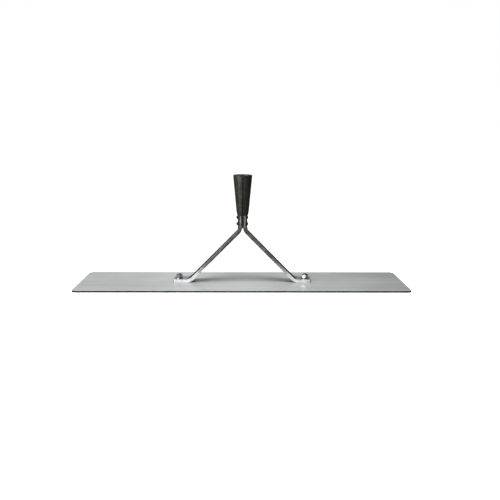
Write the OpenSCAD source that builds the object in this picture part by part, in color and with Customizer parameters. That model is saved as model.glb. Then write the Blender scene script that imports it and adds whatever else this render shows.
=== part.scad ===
// Long steel finishing trowel for a pole handle.
// A flat rectangular blade carries a two-armed yoke of flat bar. The arms stand back to back on a
// spacer plate, between the two cheeks of a tapered handle socket, and two rivets hold them there.
// Each arm's foot is fastened to the blade by a countersunk screw, a spring washer and a hex nut.
//
// Millimetres. The origin is the centre of the blade's underside: X along the blade, Y across it
// and Z up towards the socket's mouth.

/* [Blade] */
// Length of the blade
blade_length = 610; // [500:5:920]
// Width of the blade, front to back
blade_width = 127; // [90:1:200]
// Thickness of the blade
blade_thickness = 3; // [3:0.1:6]
// Radius of the blade's corners, seen from above
blade_corner_r = 9; // [4:0.5:20]
// Chamfer along the blade's top edges
blade_chamfer = 0.3; // [0.2:0.1:1.5]

/* [Yoke arms] */
// Width of the flat bar, front to back
bar_width = 22; // [19:0.5:26]
// Thickness of the flat bar
bar_thickness = 6; // [5:0.1:6.4]
// Lean of the sloping part of an arm from the vertical, in degrees
arm_lean = 44.5; // [40:0.5:48]
// Height at which the arms start to bend apart
fork_z = 107.4; // [95:0.2:109]
// Centre-line radius of the bend under the socket
fork_bend_r = 12.9; // [11:0.1:15]
// Centre-line radius of the bend at the foot
foot_bend_r = 14; // [8:0.5:18]
// Distance from the middle of the tool to the end of a foot
foot_end_x = 128.8; // [128:0.1:145]
// Distance from the middle of the tool to a foot's screw
foot_screw_x = 118.8; // [116:0.1:121]
// Radius of a foot's corners, seen from above
foot_corner_r = 3; // [1:0.5:6]

/* [Handle socket] */
// Height of the socket's mouth above the blade's underside
mouth_z = 203.3; // [180:0.5:230]
// Outer radius of the socket at its mouth
mouth_r = 17.5; // [16:0.1:19]
// Thickness of the socket's wall
socket_wall = 2.3; // [1.8:0.1:2.8]
// Height of the socket's lower end, where the cheeks start
neck_z = 129.2; // [129.2:0.1:131]
// Outer radius of the even taper, carried down to the lower end
neck_taper_r = 10.77; // [10:0.05:11.5]
// How far the taper draws in at the lower end
neck_draw_in = 1.07; // [0.5:0.01:1.2]
// Height over which it draws in
neck_draw_height = 9.6; // [6:0.1:14]
// Thickness of the solid web that closes the socket's lower end
web_thickness = 4.8; // [3:0.1:7]
// Thickness of each cheek in the middle
cheek_thickness = 1.8; // [1.6:0.1:2]
// Width of each cheek, front to back
cheek_width = 18; // [15:0.5:20]
// Radius of the cheeks' crowned outer face
cheek_crown_r = 24; // [20:1:60]
// Angle that each cheek's toe follows its arm's bend, in degrees
toe_angle = 26; // [15:1:32]
// Width of the rolled seam down the front of the socket
seam_width = 0.7; // [0.4:0.1:1.2]
// Depth of that seam
seam_depth = 0.8; // [0.4:0.1:1.2]
// Radius of the hole for the handle's retaining screw
handle_hole_r = 2.8; // [2:0.1:3.5]
// Distance of that hole below the mouth
handle_hole_drop = 6; // [5:0.1:12]

/* [Rivets] */
// Thickness of the spacer plate between the arms
spacer_thickness = 2; // [1.5:0.1:2.4]
// Height of the spacer plate's lower edge
spacer_low_z = 106.6; // [104:0.1:108]
// Radius of the rivets' shanks
rivet_r = 3; // [2:0.1:3.2]
// Radius of the rivets' heads
rivet_head_r = 3.55; // [3.4:0.05:3.6]
// Height of the upper rivet
upper_rivet_z = 125.5; // [124.5:0.1:125.6]
// Height of the lower rivet
lower_rivet_z = 113.5; // [112.5:0.1:115]
// Height of a rivet's factory head
rivet_head_h = 2.8; // [2:0.1:3.2]
// Height of a rivet's hammered head
rivet_tail_h = 1.6; // [1.2:0.1:2.4]

/* [Foot fasteners] */
// Radius of the screws' shanks
screw_r = 3.175; // [2.5:0.025:3.2]
// Radius of the screws' countersunk heads
screw_head_r = 5.9; // [5:0.1:6]
// Width of the slot in a screw's head
slot_width = 1.4; // [1:0.1:1.8]
// Depth of the slot in a screw's head
slot_depth = 1.1; // [0.6:0.1:1.4]
// Length of screw standing out of a nut
screw_stand_out = 1.6; // [0.7:0.1:4]
// Chamfer at the screws' tips
screw_tip = 0.6; // [0.3:0.1:0.7]
// Width of the nuts across their flats
nut_across_flats = 11.1; // [10:0.1:12]
// Thickness of the nuts
nut_thickness = 5.5; // [4:0.1:6]
// How far a nut's round end faces stay inside its flats
nut_face_inset = 0.2; // [0.1:0.1:0.4]
// Outer radius of the spring washers
washer_r = 6.1; // [5.5:0.1:6.5]
// Thickness of the spring washers
washer_thickness = 1.6; // [1:0.1:2]
// Width of the split in a spring washer
washer_split = 1; // [0.6:0.1:1.6]
// Slant of that split from the upright, in degrees
washer_split_slant = 20; // [0:1:30]
// Direction of that split, seen from above, in degrees from +X
washer_split_turn = -50; // [-180:5:180]

/* [Hidden] */

$fn = 96;
bend_steps = 20;  // points along each bend of an arm
draw_steps = 8;   // points along the socket's drawn-in lower end
lip_fn = 32;      // sides of the socket's rounded lip
cut = 1;          // how far a cutting body runs past the face that it cuts
rivet_gap = 0.04; // radial gap round a rivet
screw_gap = 0.15; // radial gap round a screw in the blade
foot_gap = 0.35;  // radial gap round a screw in an arm's foot
nut_gap = 0.04;   // radial gap between a nut and its screw

// Colours
steel = [0.72, 0.73, 0.73];
bar_steel = [0.42, 0.41, 0.39];
forged = [0.2, 0.19, 0.17];
zinc = [0.78, 0.79, 0.8];

// The arm's centre line, as lengths measured from its parts
bar_half = bar_thickness / 2;
stem_x = spacer_thickness / 2 + bar_half;
foot_z = blade_thickness + bar_half;
foot_turn = 90 - arm_lean;
slope_drop = fork_z - foot_z - fork_bend_r * sin(arm_lean) - foot_bend_r * (1 - cos(foot_turn));
slope_x = stem_x + fork_bend_r * (1 - cos(arm_lean));
foot_bend_x = slope_x + slope_drop * tan(arm_lean) + foot_bend_r * sin(foot_turn);
foot_top_z = blade_thickness + bar_thickness;
fork_centre = [stem_x + fork_bend_r, fork_z];
foot_centre = [foot_bend_x, foot_z + foot_bend_r];

// The socket
cheek_in_x = stem_x + bar_half;
cheek_out_x = cheek_in_x + cheek_thickness;
taper = (mouth_r - neck_taper_r) / (mouth_z - neck_z);
taper_angle = atan(taper);
cavity_z = neck_z + web_thickness;
lip_r = socket_wall / 2;
hole_z = mouth_z - handle_hole_drop;

// The foot fasteners, stacked on the foot
washer_z = foot_top_z;
nut_z = washer_z + washer_thickness;
screw_top_z = nut_z + nut_thickness + screw_stand_out;

// Points along an arc of radius r about centre, between two directions in degrees
function arc(centre, r, from, to) = [for (i = [0 : bend_steps])
    let (a = from + (to - from) * i / bend_steps)
    [centre[0] + r * cos(a), centre[1] + r * sin(a)]];

// Outer radius of the socket at height z: an even taper that draws in near its lower end
function neck_depth(z) = max(0, neck_z + neck_draw_height - z) / neck_draw_height;
function socket_r(z) = neck_taper_r + taper * (z - neck_z) - neck_draw_in * pow(neck_depth(z), 2);

// ---- Blade ----

// A straight bar of trapezium section along X, centred on Y and standing on z = 0
module chamfered_slab(length, width, thickness, chamfer) {
    low = width / 2;
    top = low - chamfer;
    rotate([90, 0, 90])
        translate([0, 0, -length / 2])
            linear_extrude(length)
                polygon([[-low, 0], [low, 0], [low, thickness - chamfer],
                    [top, thickness], [-top, thickness], [-low, thickness - chamfer]]);
}

module blade_corner() {
    side = blade_thickness - blade_chamfer;
    cylinder(h = side, r = blade_corner_r);
    translate([0, 0, side])
        cylinder(h = blade_chamfer, r1 = blade_corner_r, r2 = blade_corner_r - blade_chamfer);
}

module blade_plate() {
    corner_x = blade_length / 2 - blade_corner_r;
    corner_y = blade_width / 2 - blade_corner_r;
    chamfered_slab(2 * corner_x, blade_width, blade_thickness, blade_chamfer);
    rotate([0, 0, 90])
        chamfered_slab(2 * corner_y, blade_length, blade_thickness, blade_chamfer);
    for (sx = [-1, 1], sy = [-1, 1])
        translate([sx * corner_x, sy * corner_y, 0])
            blade_corner();
}

module screw_recess() {
    hole_r = screw_r + screw_gap;
    translate([0, 0, -cut])
        cylinder(h = blade_thickness + 2 * cut, r = hole_r);
    translate([0, 0, -cut])
        cylinder(h = screw_head_r + cut - screw_r, r1 = screw_head_r + screw_gap + cut, r2 = hole_r);
}

module blade() {
    color(steel)
        difference() {
            blade_plate();
            for (side = [-1, 1])
                translate([side * foot_screw_x, 0, 0])
                    screw_recess();
        }
}

// ---- Yoke arms ----

// The arm seen from the front: its two long edges lie half a thickness either side of the centre
// line, and each bend is an arc about the same centre on both
module arm_outline() {
    polygon(concat(
        [[stem_x - bar_half, neck_z]],
        arc(fork_centre, fork_bend_r + bar_half, 180, 180 + arm_lean),
        arc(foot_centre, foot_bend_r + bar_half, 270 - foot_turn, 270),
        [[foot_end_x, blade_thickness], [foot_end_x, foot_top_z]],
        arc(foot_centre, foot_bend_r - bar_half, 270, 270 - foot_turn),
        arc(fork_centre, fork_bend_r - bar_half, 180 + arm_lean, 180),
        [[stem_x + bar_half, neck_z]]));
}

// What rounds the foot's corner on the +Y side takes away
module foot_corner_cut() {
    translate([foot_end_x - foot_corner_r, bar_width / 2 - foot_corner_r, blade_thickness - cut])
        difference() {
            cube([foot_corner_r + cut, foot_corner_r + cut, bar_thickness + 2 * cut]);
            cylinder(h = bar_thickness + 2 * cut, r = foot_corner_r);
        }
}

module bent_bar() {
    difference() {
        rotate([90, 0, 0])
            translate([0, 0, -bar_width / 2])
                linear_extrude(bar_width)
                    arm_outline();
        foot_corner_cut();
        mirror([0, 1, 0])
            foot_corner_cut();
    }
}

// A rivet hole along X, at height z
module rivet_hole(z) {
    translate([-cut, 0, z])
        rotate([0, 90, 0])
            cylinder(h = cheek_out_x + 2 * cut, r = rivet_r + rivet_gap);
}

module arm() {
    color(bar_steel)
        difference() {
            bent_bar();
            rivet_hole(upper_rivet_z);
            rivet_hole(lower_rivet_z);
            translate([foot_screw_x, 0, blade_thickness - cut])
                cylinder(h = bar_thickness + 2 * cut, r = screw_r + foot_gap);
        }
}

module right_arm() {
    arm();
}

module left_arm() {
    mirror([1, 0, 0])
        arm();
}

// ---- Handle socket ----

module socket_profile() {
    draw_top = neck_z + neck_draw_height;
    lip_z = mouth_z - lip_r;
    lip_x = socket_r(lip_z) - lip_r;
    floor_r = socket_r(cavity_z) - 2 * socket_wall;
    outer = [for (i = [0 : draw_steps])
        let (z = neck_z + neck_draw_height * i / draw_steps) [socket_r(z), z]];
    polygon(concat([[0, neck_z]], outer, [
        [socket_r(lip_z), lip_z],
        [lip_x - lip_r, lip_z],
        [socket_r(draw_top) - socket_wall, draw_top],
        [floor_r, cavity_z],
        [0, cavity_z]]));
    translate([lip_x, lip_z])
        circle(r = lip_r, $fn = lip_fn);
}

// The level section of the cheek on the +X side: flat against the arm and crowned outside
module cheek_section() {
    intersection() {
        translate([cheek_in_x, -cheek_width / 2])
            square([cheek_thickness, cheek_width]);
        translate([cheek_out_x - cheek_crown_r, 0])
            circle(r = cheek_crown_r);
    }
}

// Turns the section below it about the Y axis through the origin. The section's X is the radius,
// and it covers angle degrees from the direction start: 0 is +X, 90 is +Z, 180 is -X, 270 is -Z
module bend(start, angle) {
    rotate([0, -start, 0])
        rotate([90, 0, 0])
            rotate_extrude(angle = angle)
                children();
}

// One cheek on the +X side: an upright strap, and a toe that follows the arm's bend
module cheek() {
    bend_x = fork_centre[0];
    difference() {
        union() {
            translate([0, 0, fork_z])
                linear_extrude(neck_z - fork_z)
                    cheek_section();
            translate([bend_x, 0, fork_z])
                bend(180, toe_angle)
                    translate([bend_x, 0])
                        mirror([1, 0])
                            cheek_section();
        }
        rivet_hole(upper_rivet_z);
        rivet_hole(lower_rivet_z);
    }
}

// The seam's cutter: a thin upright slab that leans with the taper
module seam_cut() {
    translate([-seam_width / 2, -mouth_r, mouth_z])
        rotate([taper_angle, 0, 0])
            translate([0, -cut, neck_z - mouth_z])
                cube([seam_width, seam_depth + cut, mouth_z - neck_z + cut]);
}

module handle_socket() {
    color(forged)
        difference() {
            union() {
                rotate_extrude()
                    socket_profile();
                cheek();
                mirror([1, 0, 0])
                    cheek();
            }
            seam_cut();
            translate([0, 0, hole_z])
                rotate([90, 0, 0])
                    cylinder(h = mouth_r + cut, r = handle_hole_r);
        }
}

// ---- Spacer and rivets ----

module yoke_spacer() {
    height = neck_z - spacer_low_z;
    color(forged)
        difference() {
            translate([-spacer_thickness / 2, -bar_width / 2, spacer_low_z])
                cube([spacer_thickness, bar_width, height]);
            for (z = [upper_rivet_z, lower_rivet_z])
                translate([-spacer_thickness, 0, z])
                    rotate([0, 90, 0])
                        cylinder(h = 2 * spacer_thickness, r = rivet_r + rivet_gap);
        }
}

// A domed head of base radius r and height h, standing on z = 0
module dome(r, h) {
    ball_r = (r * r + h * h) / (2 * h);
    intersection() {
        translate([0, 0, h - ball_r])
            sphere(r = ball_r);
        cylinder(h = h, r = r);
    }
}

module socket_rivet(z) {
    color(forged)
        translate([0, 0, z]) {
            rotate([0, 90, 0])
                translate([0, 0, -cheek_out_x])
                    cylinder(h = 2 * cheek_out_x, r = rivet_r);
            translate([cheek_out_x, 0, 0])
                rotate([0, 90, 0])
                    dome(rivet_head_r, rivet_tail_h);
            translate([-cheek_out_x, 0, 0])
                rotate([0, -90, 0])
                    dome(rivet_head_r, rivet_head_h);
        }
}

module upper_socket_rivet() {
    socket_rivet(upper_rivet_z);
}

module lower_socket_rivet() {
    socket_rivet(lower_rivet_z);
}

// ---- Foot fasteners ----

module foot_screw() {
    head_h = screw_head_r - screw_r;
    color(zinc)
        difference() {
            union() {
                cylinder(h = head_h, r1 = screw_head_r, r2 = screw_r);
                cylinder(h = screw_top_z - screw_tip, r = screw_r);
                translate([0, 0, screw_top_z - screw_tip])
                    cylinder(h = screw_tip, r1 = screw_r, r2 = screw_r - screw_tip);
            }
            translate([-screw_head_r - cut, -slot_width / 2, -cut])
                cube([2 * (screw_head_r + cut), slot_width, slot_depth + cut]);
        }
}

module spring_washer() {
    color(zinc)
        translate([0, 0, washer_z])
            difference() {
                cylinder(h = washer_thickness, r = washer_r);
                translate([0, 0, -cut])
                    cylinder(h = washer_thickness + 2 * cut, r = screw_r + foot_gap);
                rotate([0, washer_split_slant, washer_split_turn])
                    translate([0, -washer_split / 2, -washer_r])
                        cube([washer_r + cut, washer_split, 2 * washer_r]);
            }
}

module foot_nut() {
    corner_r = nut_across_flats / 2 / cos(30);
    face_r = nut_across_flats / 2 - nut_face_inset;
    slant = (corner_r - face_r) * tan(30);
    color(zinc)
        translate([0, 0, nut_z])
            difference() {
                intersection() {
                    rotate([0, 0, 30])
                        cylinder(h = nut_thickness, r = corner_r, $fn = 6);
                    union() {
                        cylinder(h = slant, r1 = face_r, r2 = corner_r);
                        translate([0, 0, slant])
                            cylinder(h = nut_thickness - 2 * slant, r = corner_r);
                        translate([0, 0, nut_thickness - slant])
                            cylinder(h = slant, r1 = corner_r, r2 = face_r);
                    }
                }
                translate([0, 0, -cut])
                    cylinder(h = nut_thickness + 2 * cut, r = screw_r + nut_gap);
            }
}

// The same fastener on the left foot or the right
module on_foot(side) {
    translate([side * foot_screw_x, 0, 0])
        children();
}

module left_foot_screw() {
    on_foot(-1)
        foot_screw();
}

module right_foot_screw() {
    on_foot(1)
        foot_screw();
}

module left_spring_washer() {
    on_foot(-1)
        spring_washer();
}

module right_spring_washer() {
    on_foot(1)
        spring_washer();
}

module left_foot_nut() {
    on_foot(-1)
        foot_nut();
}

module right_foot_nut() {
    on_foot(1)
        foot_nut();
}

blade();
left_arm();
right_arm();
handle_socket();
yoke_spacer();
upper_socket_rivet();
lower_socket_rivet();
left_foot_screw();
right_foot_screw();
left_spring_washer();
right_spring_washer();
left_foot_nut();
right_foot_nut();
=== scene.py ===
"""Looks for the long steel finishing trowel: finishes on the CAD parts, threaded screws, light, camera.

Everything is in metres, in the part's own frame: X along the blade, Y across it, Z up.
"""
import math

import bpy
from mathutils import Matrix, Vector


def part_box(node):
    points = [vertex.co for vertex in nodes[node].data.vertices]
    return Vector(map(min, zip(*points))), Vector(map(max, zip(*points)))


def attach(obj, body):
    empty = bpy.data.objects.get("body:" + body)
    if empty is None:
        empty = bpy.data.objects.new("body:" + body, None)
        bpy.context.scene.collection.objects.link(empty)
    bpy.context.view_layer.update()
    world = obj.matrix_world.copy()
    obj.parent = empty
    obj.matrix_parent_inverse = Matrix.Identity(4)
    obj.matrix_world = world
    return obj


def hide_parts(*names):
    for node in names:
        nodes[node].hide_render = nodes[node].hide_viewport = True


MM = 0.001

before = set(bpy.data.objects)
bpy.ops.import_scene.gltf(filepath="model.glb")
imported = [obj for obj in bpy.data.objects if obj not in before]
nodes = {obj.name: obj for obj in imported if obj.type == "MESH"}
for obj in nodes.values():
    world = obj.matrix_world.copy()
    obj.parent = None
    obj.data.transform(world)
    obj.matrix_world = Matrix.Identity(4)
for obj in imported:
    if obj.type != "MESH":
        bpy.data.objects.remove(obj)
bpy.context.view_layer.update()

BAR_THICKNESS = 6 * MM
arm_low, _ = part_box("right_arm")
stem_x = arm_low.x + BAR_THICKNESS / 2  # middle of the right arm's upright stem


def link(name, data):
    """Puts a new object, which holds that data, in the scene."""
    thing = bpy.data.objects.new(name, data)
    bpy.context.scene.collection.objects.link(thing)
    return thing


# ---- Small helpers for node trees ----

NOISE_RANGE = (0.3, 0.7)      # nearly all of a noise's values lie in this range
NOISE_MIDDLE = (0.35, 0.65)   # and most of them in this one
FALLING = (1.0, 0.0)          # what a ramp that fades something out goes to
EDGE_MASK_SAMPLES = 6


def set_input(tree, socket, value):
    """Links value to the socket if it is another socket, and otherwise stores it there."""
    if isinstance(value, bpy.types.NodeSocket):
        tree.links.new(value, socket)
    else:
        socket.default_value = value


def add(tree, kind, inputs=(), **settings):
    """Adds a node, with its settings and its inputs, which are (name or index, value) pairs."""
    node = tree.nodes.new(kind)
    for name, value in settings.items():
        setattr(node, name, value)
    for key, value in inputs:
        set_input(tree, node.inputs[key], value)
    return node


def math_node(tree, operation, a, b=0.0, clamp=False):
    """One sum on sockets or numbers, held between 0 and 1 if clamp is true."""
    node = add(tree, "ShaderNodeMath", [(0, a), (1, b)], operation=operation, use_clamp=clamp)
    return node.outputs[0]


def plus(tree, a, b):
    return math_node(tree, "ADD", a, b)


def minus(tree, a, b):
    return math_node(tree, "SUBTRACT", a, b)


def times(tree, a, b, clamp=False):
    return math_node(tree, "MULTIPLY", a, b, clamp)


def absolute(tree, a):
    return math_node(tree, "ABSOLUTE", a)


def axes(tree, vector):
    """The X, Y and Z of a vector."""
    node = add(tree, "ShaderNodeSeparateXYZ", [(0, vector)])
    return node.outputs[0], node.outputs[1], node.outputs[2]


def joined(tree, x, y, z):
    """A vector made of its X, Y and Z."""
    return add(tree, "ShaderNodeCombineXYZ", [(0, x), (1, y), (2, z)]).outputs[0]


def surface_normal(tree):
    """The X, Y and Z of the direction that the surface faces."""
    return axes(tree, add(tree, "ShaderNodeNewGeometry").outputs["Normal"])


def ramp(tree, value, over, to=(0.0, 1.0)):
    """Takes value smoothly from the range over to the range to, and holds it beyond their ends."""
    node = add(
        tree,
        "ShaderNodeMapRange",
        [("Value", value), ("From Min", over[0]), ("From Max", over[1]),
         ("To Min", to[0]), ("To Max", to[1])],
        interpolation_type="SMOOTHSTEP",
    )
    return node.outputs["Result"]


def colour_steps(tree, value, stops):
    """A colour ramp through (position, colour) stops."""
    node = tree.nodes.new("ShaderNodeValToRGB")
    elements = node.color_ramp.elements
    while len(elements) < len(stops):
        elements.new(0.5)
    for element, (position, colour) in zip(elements, stops):
        element.position = position
        element.color = (*colour, 1.0)
    set_input(tree, node.inputs[0], value)
    return node.outputs["Color"]


def mix(tree, factor, a, b, blend_type="MIX"):
    """Mixes two colours, each of them a socket or three numbers."""
    node = tree.nodes.new("ShaderNodeMix")
    node.data_type = "RGBA"
    node.blend_type = blend_type
    set_input(tree, node.inputs[0], factor)
    for socket, value in ((node.inputs[6], a), (node.inputs[7], b)):
        if not isinstance(value, bpy.types.NodeSocket):
            value = (*value, 1.0)
        set_input(tree, socket, value)
    return node.outputs[2]


def toned(tree, colour, tone):
    """The colour, made darker or lighter by the factor tone."""
    return mix(tree, 1.0, colour, joined(tree, tone, tone, tone), "MULTIPLY")


def noise(tree, place, per_metre, detail=3.0, roughness=0.5):
    """Noise with that many features per metre: one number, or one each for X, Y and Z."""
    if hasattr(per_metre, "__len__"):
        place = add(tree, "ShaderNodeVectorMath", [(0, place), (1, per_metre)],
                    operation="MULTIPLY").outputs[0]
        per_metre = 1.0
    node = add(
        tree,
        "ShaderNodeTexNoise",
        [("Vector", place), ("Scale", per_metre), ("Detail", detail), ("Roughness", roughness)],
    )
    return node.outputs["Fac"]


def bump(tree, height, distance, strength, normal=None):
    """The direction that the surface faces, made uneven by height, on top of normal if there is one."""
    node = add(
        tree,
        "ShaderNodeBump",
        [("Height", height), ("Distance", distance), ("Strength", strength)],
    )
    if normal is not None:
        tree.links.new(normal, node.inputs["Normal"])
    return node.outputs["Normal"]


def edge_mask(tree, radius, gain):
    """Up to 1 along the edges of the piece, and 0 away from them."""
    rounded = add(tree, "ShaderNodeBevel", [("Radius", radius)], samples=EDGE_MASK_SAMPLES).outputs[0]
    true_normal = add(tree, "ShaderNodeNewGeometry").outputs["True Normal"]
    dot = add(tree, "ShaderNodeVectorMath", [(0, rounded), (1, true_normal)],
              operation="DOT_PRODUCT").outputs["Value"]
    return times(tree, minus(tree, 1.0, dot), gain, clamp=True)


def drive(tree, shader, **values):
    """Sets or links the shader's inputs, whose names have _ here for each space."""
    for key, value in values.items():
        set_input(tree, shader.inputs[key.replace("_", " ")], value)


def new_material(name, **constants):
    """A material with one Principled shader, that shader's constant inputs, and the piece's place."""
    material = bpy.data.materials.new(name)
    material.use_nodes = True
    tree = material.node_tree
    shader = tree.nodes["Principled BSDF"]
    drive(tree, shader, **constants)
    place = add(tree, "ShaderNodeTexCoord").outputs["Object"]
    return material, tree, shader, place


# ---- Materials ----

def blade_material():
    """Brushed sheet steel: lengthwise grain, faint cloudiness and a near-black edge, partly the sheared
    edge's own darker steel and partly painted shade.
    """
    fine_grain = (10, 1500, 300)   # features per metre, as noise takes them
    medium_grain = (5, 260, 60)
    broad_bands = (2.2, 70, 20)
    clouds = (7, 14, 10)
    cloud_range = (0.35, 0.68)     # from where they darken the steel most to where they lighten it most
    cloud_shade = (0.93, 1.03)
    steel_steps = [(0.32, (0.33, 0.34, 0.338)), (0.5, (0.39, 0.401, 0.398)),
                   (0.68, (0.46, 0.472, 0.472))]
    # painted shade: the edge faces are coloured near black, partly the sheared edge's darker steel and
    # partly the shade and dark reflection along the edge
    sheared_and_shade_colour = (0.010, 0.010, 0.011)
    level_facing = (0.74, 0.97)    # faces less level than the first are painted near black (sheared edge and painted shade), more than the second not
    metallic = (0.5, 1.0)          # of the rolled faces, and of the painted near-black edge faces
    roughness = (0.38, 0.46)       # of the grain's dark lines, and of its pale ones

    material, tree, shader, place = new_material("brushed_blade_steel", Anisotropic=0.3)
    fine = noise(tree, place, fine_grain, detail=2.0, roughness=0.6)
    medium = noise(tree, place, medium_grain, roughness=0.55)
    bands = noise(tree, place, broad_bands, detail=2.0)
    grain = plus(tree, times(tree, plus(tree, fine, medium), 0.35), times(tree, bands, 0.3))
    cloudy = ramp(tree, noise(tree, place, clouds, roughness=0.55), cloud_range, cloud_shade)
    steel = toned(tree, colour_steps(tree, grain, steel_steps), cloudy)
    _, _, up = surface_normal(tree)
    # painted shade: faces that face neither up nor down, and the chamfer, get the near-black colour
    sheared_and_shaded = ramp(tree, absolute(tree, up), level_facing, FALLING)
    drive(
        tree, shader,
        Base_Color=mix(tree, sheared_and_shaded, steel, sheared_and_shade_colour),
        Metallic=ramp(tree, sheared_and_shaded, (0.0, 1.0), metallic),
        Roughness=ramp(tree, grain, NOISE_RANGE, roughness),
        Normal=bump(tree, fine, distance=0.01 * MM, strength=0.5),
        Tangent=joined(tree, 0.0, 1.0, 0.0),
    )
    return material


def arm_material():
    """Bent flat bar, with painted light in its colour: the narrow edges are painted dark under the socket
    and bright at the feet, as painted shade and painted reflection; the wide faces carry a painted
    highlight part way up, level faces are painted pale, and a painted highlight runs up each stem's edge.
    """
    drawn_lines = (14, 900, 700)   # per metre: down the sloping bar, across it and through it
    full_height = 130 * MM         # the height that the positions below are parts of
    unevenness = 8 * MM            # how far the borders between the colours wander up and down
    stem_start = (0.85, 0.88)      # where the sloping bar's colours give way to the stem's
    polish_end = (0.1, 0.42)       # where the polish on the narrow edges starts to go, and is gone
    painted_edge_light_steps = [                 # on the narrow edges: painted reflection, bright at the feet and dark under the socket
        (0.0, (0.70, 0.72, 0.77)), (0.15, (0.82, 0.82, 0.81)), (0.24, (0.55, 0.55, 0.54)),
        (0.33, (0.46, 0.45, 0.425)), (0.45, (0.42, 0.41, 0.38)), (0.7, (0.31, 0.305, 0.275)),
        (0.84, (0.26, 0.255, 0.225))]
    painted_face_light_steps = [                 # on the wide faces: painted shade low down and at the top, and a painted highlight part way up
        (0.0, (0.06, 0.06, 0.06)), (0.25, (0.08, 0.08, 0.077)), (0.55, (0.27, 0.265, 0.25)),
        (0.8, (0.36, 0.35, 0.33)), (0.95, (0.1, 0.1, 0.095))]
    # level faces, the tops of the feet, are painted pale: painted light on faces that look up
    painted_level_light_colour = (0.40, 0.405, 0.40)
    stem_colour = (0.09, 0.09, 0.085)
    # painted highlight colour, for the bright line up each stem's dark narrow edge
    stem_highlight_colour = (0.75, 0.74, 0.72)
    stem_highlight_half_width = (0.5 * MM, 1.9 * MM)  # of the painted highlight line up each stem's edge: full, and gone
    worn_colour = (0.5, 0.5, 0.49)
    line_shade = (0.88, 1.1)       # how much the drawn lines and the mottle darken and lighten it
    mottle_shade = (0.85, 1.12)
    metallic = (0.9, 0.5)          # without the polish, and with all of it
    roughness = (0.3, 0.42)

    material, tree, shader, place = new_material("bent_bar_steel")
    x, y, z = axes(tree, place)
    along = minus(tree, absolute(tree, x), z)
    across = plus(tree, absolute(tree, x), z)
    lines = noise(tree, joined(tree, along, y, across), drawn_lines, detail=2.0, roughness=0.6)
    mottle = noise(tree, place, 130, detail=4.0, roughness=0.6)
    patches = noise(tree, place, 38)
    height = plus(tree, z, times(tree, patches, unevenness))
    height = times(tree, height, 1 / full_height, clamp=True)

    _, facing, up = surface_normal(tree)
    on_edge = ramp(tree, absolute(tree, facing), (0.6, 0.85))
    on_stem = ramp(tree, height, stem_start)
    from_middle = absolute(tree, minus(tree, absolute(tree, x), stem_x))
    # painted highlight: a bright line up the middle of each stem's front edge
    stem = mix(tree, ramp(tree, from_middle, stem_highlight_half_width, FALLING), stem_colour, stem_highlight_colour)
    # painted light: the narrow edges' colour by height, bright at the feet and dark under the socket,
    # with the painted highlight line on the stems
    edge = mix(tree, on_stem, colour_steps(tree, height, painted_edge_light_steps), stem)
    # painted light: level faces pale, wide faces by height, unlike the narrow edges
    is_level = ramp(tree, up, (0.85, 0.98))
    face = mix(tree, is_level, colour_steps(tree, height, painted_face_light_steps), painted_level_light_colour)
    tone = times(tree, ramp(tree, lines, NOISE_RANGE, line_shade),
                 ramp(tree, mottle, NOISE_RANGE, mottle_shade))
    steel = toned(tree, mix(tree, on_edge, face, edge), tone)
    worn = times(tree, edge_mask(tree, radius=0.7 * MM, gain=4.0), 0.12)
    polish = times(tree, on_edge, ramp(tree, height, polish_end, FALLING))
    relief = plus(tree, times(tree, lines, 0.5), mottle)
    drive(
        tree, shader,
        Base_Color=mix(tree, worn, steel, worn_colour),
        Metallic=ramp(tree, polish, (0.0, 1.0), metallic),
        Roughness=ramp(tree, mottle, NOISE_RANGE, roughness),
        Normal=bump(tree, relief, distance=0.04 * MM, strength=0.5),
    )
    return material


def forged_material(name, darkest, lightest, worn_colour, scale_depth, shine):
    """Blackened forging: scale mottle, faint draw marks down its length and edges worn paler. A dark line
    runs down the middle of the front, on the socket and on the spacer's edge below it: partly the
    socket's real seam, and partly painted shade in the seam's groove and between the bars."""
    draw_marks = (420, 420, 22)    # features per metre, as noise takes them
    # painted shade along the seam: near black on the socket's seam and on the spacer's edge between the
    # bars
    seam_shade_colour = (0.008, 0.008, 0.008)
    seam_shade_half_width = (0.5 * MM, 1.1 * MM)  # full, and gone
    seam_shade_front = (-6 * MM, -5 * MM)         # the Y range over which the painted seam shade goes from full to gone
    patch_shade = (0.8, 1.2)       # how much the patches darken and lighten it
    roughness = (0.3, 0.43)

    material, tree, shader, place = new_material(name, Metallic=0.45, Specular_IOR_Level=shine)
    marks = noise(tree, place, draw_marks, roughness=0.6)
    scale = noise(tree, place, 260, detail=4.0, roughness=0.6)
    patches = noise(tree, place, 55, roughness=0.55)
    texture = plus(tree, times(tree, scale, 0.4), times(tree, marks, 0.6))
    colour = colour_steps(tree, texture, [(0.3, darkest), (0.7, lightest)])
    colour = toned(tree, colour, ramp(tree, patches, NOISE_MIDDLE, patch_shade))

    x, y, _ = axes(tree, place)
    # painted shade: the seam line, near black down the middle of the front
    seam_shade = times(tree, ramp(tree, absolute(tree, x), seam_shade_half_width, FALLING),
                 ramp(tree, y, seam_shade_front, FALLING))
    rubbed = ramp(tree, scale, (0.35, 0.6), (0.2, 0.7))
    worn = times(tree, edge_mask(tree, radius=0.8 * MM, gain=5.0), rubbed)
    worn = times(tree, worn, minus(tree, 1.0, seam_shade))
    colour = mix(tree, worn, colour, worn_colour)
    uneven = bump(tree, patches, distance=0.5 * MM, strength=0.35)
    drive(
        tree, shader,
        Base_Color=mix(tree, seam_shade, colour, seam_shade_colour),
        Roughness=ramp(tree, scale, NOISE_RANGE, roughness),
        Normal=bump(tree, texture, scale_depth, strength=0.5, normal=uneven),
    )
    return material


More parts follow.
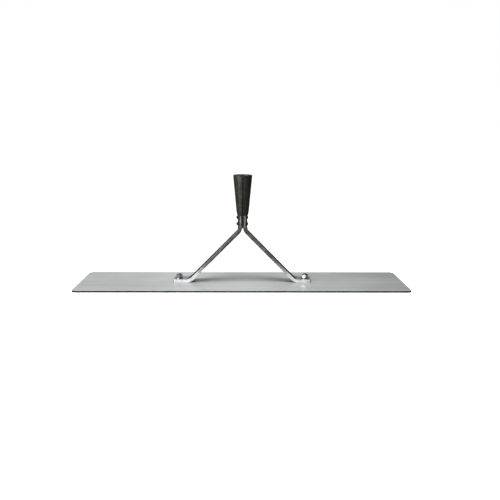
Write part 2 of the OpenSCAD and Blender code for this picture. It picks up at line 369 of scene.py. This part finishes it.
def zinc_material():
    """Bright plated fasteners, with faint turning lines and slightly dulled patches."""
    dull = (0.26, 0.27, 0.28)
    bright = (0.42, 0.43, 0.44)
    worn_colour = (0.7, 0.7, 0.7)
    turning_lines = (300, 300, 4500)
    roughness = (0.2, 0.32)

    material, tree, shader, place = new_material("bright_zinc", Metallic=1.0)
    patches = noise(tree, place, 420, roughness=0.55)
    lines = noise(tree, place, turning_lines, detail=2.0)
    colour = colour_steps(tree, patches, list(zip(NOISE_MIDDLE, (dull, bright))))
    worn = times(tree, edge_mask(tree, radius=0.25 * MM, gain=4.0), 0.4)
    drive(
        tree, shader,
        Base_Color=mix(tree, worn, colour, worn_colour),
        Roughness=ramp(tree, patches, NOISE_MIDDLE, roughness),
        Normal=bump(tree, lines, distance=0.02 * MM, strength=0.3),
    )
    return material


def floor_material():
    """Pale matt floor that lets the eye through from below, so that the blade's underside shows."""
    material, tree, shader, place = new_material(
        "pale_floor", Roughness=0.9, Specular_IOR_Level=0.1, Emission_Strength=0.93,
        Emission_Color=(1.0, 1.0, 1.0, 1.0))
    material.cycles.emission_sampling = "NONE"  # as a lamp, it would draw a line across the underside
    grey = (0.40, 0.42)
    tone = ramp(tree, noise(tree, place, 3, detail=2.0), NOISE_RANGE, grey)
    drive(tree, shader, Base_Color=joined(tree, tone, tone, tone))
    clear = add(tree, "ShaderNodeBsdfTransparent").outputs[0]
    behind = add(tree, "ShaderNodeNewGeometry").outputs["Backfacing"]
    both = add(tree, "ShaderNodeMixShader", [(0, behind), (1, shader.outputs[0]), (2, clear)])
    set_input(tree, tree.nodes["Material Output"].inputs["Surface"], both.outputs[0])
    return material


# ---- Finishing the CAD parts ----

WELD_DISTANCE = 0.001 * MM
FLAT_ANGLE = math.radians(0.2)    # faces that turn by less than this from each other are one face
CORNER_ANGLE = math.radians(28)   # edges that turn by more than this are softened


def finish_node(name, material, edge):
    """Gives a CAD part its material, softened edges of that width and smooth shading. The CAD's
    triangles are joined into whole faces first, so that only real edges are softened."""
    node = nodes[name]
    for slot in node.material_slots:
        slot.material = material
    custom = node.data.attributes.get("custom_normal")
    if custom is not None:
        node.data.attributes.remove(custom)
    node.data.shade_smooth()
    weld = node.modifiers.new("weld", "WELD")
    weld.merge_threshold = WELD_DISTANCE
    flat = node.modifiers.new("flat", "DECIMATE")
    flat.decimate_type = "DISSOLVE"
    flat.angle_limit = FLAT_ANGLE
    soft = node.modifiers.new("soft_edges", "BEVEL")
    soft.width = edge
    soft.segments = 2
    soft.limit_method = "ANGLE"
    soft.angle_limit = CORNER_ANGLE
    normals = node.modifiers.new("flat_faces", "WEIGHTED_NORMAL")
    normals.weight = 100


# ---- Threaded screws ----

SCREW_PITCH = 1.27 * MM
THREAD_DEPTH = 0.55 * MM
THREAD_FLAT = 0.1          # the part of the flank that is cut off flat at the crest, and at the root
THREAD_START = 8 * MM      # height at which the thread runs out into the plain shank
THREAD_RUN_OUT = 1.2 * MM
SCREW_TIP = 0.6 * MM
SHANK_RADIUS = 3.175 * MM
HEAD_RIM = 0.2 * MM        # how far in the head's first row of points lies
SLOT_HALF_WIDTH = 0.7 * MM
SLOT_DEPTH = 1.1 * MM
SHARP_ANGLE = math.radians(32)
ROUND_STEPS = 48
STEPS_PER_TURN = 12        # rows of points for each turn of the thread


def held(value):
    """value, held between 0 and 1."""
    return min(max(value, 0), 1)


def thread_radius(z, turn, top):
    """The screw's radius at height z, and at a direction given as a part of a turn."""
    phase = (z / SCREW_PITCH - turn) % 1
    slope = 1 - abs(2 * phase - 1)
    groove = held((slope - THREAD_FLAT) / (1 - 2 * THREAD_FLAT))
    run_in = held((z - THREAD_START) / THREAD_RUN_OUT)
    tip = SHANK_RADIUS - max(0, z - (top - SCREW_TIP))
    return min(SHANK_RADIUS - THREAD_DEPTH * groove * run_in, tip)


def screw_body(head_radius, top):
    """Countersunk head, plain shank and helical thread, as a closed mesh."""
    count = math.ceil((top - THREAD_START) / (SCREW_PITCH / STEPS_PER_TURN))
    thread_heights = [THREAD_START + (top - THREAD_START) * i / count for i in range(count + 1)]
    rows = [(0, head_radius), (HEAD_RIM, head_radius - HEAD_RIM),
            (head_radius - SHANK_RADIUS, SHANK_RADIUS)]
    rows += [(z, None) for z in thread_heights]
    points = []
    for z, radius in rows:
        for i in range(ROUND_STEPS):
            turn = i / ROUND_STEPS
            r = thread_radius(z, turn, top) if radius is None else radius
            points.append((r * math.cos(2 * math.pi * turn), r * math.sin(2 * math.pi * turn), z))
    faces = []
    for row in range(len(rows) - 1):
        for i in range(ROUND_STEPS):
            a = row * ROUND_STEPS + i
            b = row * ROUND_STEPS + (i + 1) % ROUND_STEPS
            faces.append((a, b, b + ROUND_STEPS, a + ROUND_STEPS))
    last = (len(rows) - 1) * ROUND_STEPS
    faces.append(tuple(reversed(range(ROUND_STEPS))))
    faces.append(tuple(last + i for i in range(ROUND_STEPS)))
    mesh = bpy.data.meshes.new("screw")
    mesh.from_pydata(points, [], faces)
    return mesh


def slot_block(length):
    """The block that the driver's slot is cut with."""
    mesh = bpy.data.meshes.new("slot")
    corners = [(x, y, z) for x in (-length, length) for y in (-SLOT_HALF_WIDTH, SLOT_HALF_WIDTH)
               for z in (-SLOT_DEPTH, SLOT_DEPTH)]
    mesh.from_pydata(corners, [], [(0, 1, 3, 2), (4, 6, 7, 5), (0, 4, 5, 1), (2, 3, 7, 6),
                                   (0, 2, 6, 4), (1, 5, 7, 3)])
    return mesh


def slotted_screw(head_radius, top):
    """The screw's mesh, with the slot cut across its head."""
    whole = link("whole_screw", screw_body(head_radius, top))
    block = link("slot_block", slot_block(2 * head_radius))
    cut = whole.modifiers.new("slot", "BOOLEAN")
    cut.operation = "DIFFERENCE"
    cut.solver = "EXACT"
    cut.object = block
    evaluated = whole.evaluated_get(bpy.context.evaluated_depsgraph_get())
    mesh = bpy.data.meshes.new_from_object(evaluated)
    for thing in (whole, block):
        bpy.data.objects.remove(thing)
    mesh.shade_smooth()
    mesh.set_sharp_from_angle(angle=SHARP_ANGLE)
    return mesh


def threaded_screw(side, material):
    """Stands for the CAD screw of that side: the same size, with its thread."""
    node = side + "_foot_screw"
    low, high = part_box(node)
    piece = link(side + "_threaded_screw", slotted_screw((high.x - low.x) / 2, high.z))
    piece.location = ((low.x + high.x) / 2, (low.y + high.y) / 2, 0)
    piece.data.materials.clear()
    piece.data.materials.append(material)
    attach(piece, "root")
    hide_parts(node)


# ---- Light, floor and camera ----

FLOOR_HALF_SIDE = 12.0
FLOOR_HEIGHT = -0.1 * MM  # just clear of the blade's underside, which would otherwise lie in the floor

FILM_WIDTH = 36           # of the camera, in mm, as is its lens
LENS = 37.26
CAMERA_PLACE = (-4.64 * MM, -944.2 * MM, 284.65 * MM)
CAMERA_TURN = 1.134       # degrees to the right
CAMERA_DOWN = 13.184      # degrees below the level
CAMERA_ROLL = 0.38        # degrees anticlockwise, seen from behind the camera


def area_light(name, place, target, size, watts, mirrored=True):
    """A soft rectangular lamp that faces target. If it isn't mirrored, shiny pieces don't show it."""
    data = bpy.data.lights.new(name, "AREA")
    data.shape = "RECTANGLE"
    data.size = size[0]
    data.size_y = size[1]
    data.energy = watts
    light = link(name, data)
    light.location = place
    light.rotation_euler = (Vector(target) - Vector(place)).to_track_quat("-Z", "Y").to_euler()
    light.visible_camera = False
    light.visible_glossy = mirrored


def lamps():
    """Most light comes from above and from the front left, with a little from behind."""
    # Seen from above, its mirror image would burn out the blade
    area_light("overhead_softbox", (-0.08, -0.13, 0.65), (-0.08, -0.03, 0), (0.38, 0.26), 8.6,
               mirrored=False)
    area_light("front_left_strip", (-1.12, -1.0, 0.4), (0, 0, 0.12), (0.25, 0.8), 24)
    area_light("rear_softbox", (-0.06, 2.0, 0.95), (0, 0, 0), (0.75, 0.5), 1.0)


def studio_world():
    """A white surround for the eye. What lights the tool is darker: nearly black at the horizon and
    just below it, so that upright steel stays dark, paler overhead and towards -X, and bright from
    straight below."""
    world = bpy.data.worlds.new("studio")
    bpy.context.scene.world = world
    world.use_nodes = True
    tree = world.node_tree
    tree.nodes.clear()
    x, _, z = axes(tree, add(tree, "ShaderNodeTexCoord").outputs["Generated"])
    above_horizon = ramp(tree, z, (-0.02, 0.2), (0.1, 1.0))
    overhead = ramp(tree, z, (0.15, 0.9), (0.17, 0.7))
    sideways = ramp(tree, x, (-0.4, 0.45), (1.0, 0.45))
    underneath = ramp(tree, z, (-0.85, -0.4), (0.75, 0.0))
    strength = times(tree, times(tree, overhead, sideways), above_horizon)
    strength = plus(tree, strength, underneath)
    graded = add(tree, "ShaderNodeBackground", [("Strength", strength)])
    white = add(tree, "ShaderNodeBackground", [("Strength", 1.0)])
    for node in (graded, white):
        node.inputs["Color"].default_value = (1, 1, 1, 1)
    eye = add(tree, "ShaderNodeLightPath").outputs["Is Camera Ray"]
    both = add(tree, "ShaderNodeMixShader", [(0, eye), (1, graded.outputs[0]), (2, white.outputs[0])])
    output = tree.nodes.new("ShaderNodeOutputWorld")
    tree.links.new(both.outputs[0], output.inputs[0])


def pale_floor():
    """A wide plain floor, which the shiny pieces don't mirror."""
    mesh = bpy.data.meshes.new("floor")
    side = FLOOR_HALF_SIDE
    outline = ((-side, -side), (side, -side), (side, side), (-side, side))
    mesh.from_pydata([(x, y, FLOOR_HEIGHT) for x, y in outline], [], [(0, 1, 2, 3)])
    mesh.materials.append(floor_material())
    floor = link("floor", mesh)
    floor.visible_glossy = False


def photo_camera():
    """The camera: just left of the middle, looking down at the tool, with a slight turn and roll."""
    data = bpy.data.cameras.new("camera")
    data.lens = LENS
    data.sensor_width = FILM_WIDTH
    camera = link("camera", data)
    turn = Matrix.Rotation(math.radians(-CAMERA_TURN), 4, "Z")
    pitch = Matrix.Rotation(math.radians(90 - CAMERA_DOWN), 4, "X")
    roll = Matrix.Rotation(math.radians(CAMERA_ROLL), 4, "Z")
    camera.matrix_world = Matrix.Translation(CAMERA_PLACE) @ turn @ pitch @ roll
    bpy.context.scene.camera = camera


# ---- The scene ----

bpy.context.scene.view_settings.view_transform = "Standard"

blade_steel = blade_material()
bar_steel = arm_material()
forged = forged_material(
    "blackened_forging", darkest=(0.014, 0.0128, 0.0105), lightest=(0.043, 0.040, 0.033),
    worn_colour=(0.20, 0.19, 0.18), scale_depth=0.12 * MM, shine=0.45)
riveted = forged_material(
    "blackened_rivets", darkest=(0.004, 0.004, 0.004), lightest=(0.010, 0.010, 0.010),
    worn_colour=(0.06, 0.06, 0.058), scale_depth=0.06 * MM, shine=0.2)
zinc = zinc_material()

finish_node("blade", blade_steel, edge=0.15 * MM)
for side in ("left", "right"):
    finish_node(side + "_arm", bar_steel, edge=0.35 * MM)
    threaded_screw(side, zinc)
    finish_node(side + "_spring_washer", zinc, edge=0.15 * MM)
    finish_node(side + "_foot_nut", zinc, edge=0.12 * MM)
for level in ("upper", "lower"):
    finish_node(level + "_socket_rivet", riveted, edge=0.15 * MM)
finish_node("handle_socket", forged, edge=0.25 * MM)
finish_node("yoke_spacer", forged, edge=0.25 * MM)

pale_floor()
studio_world()
lamps()
photo_camera()
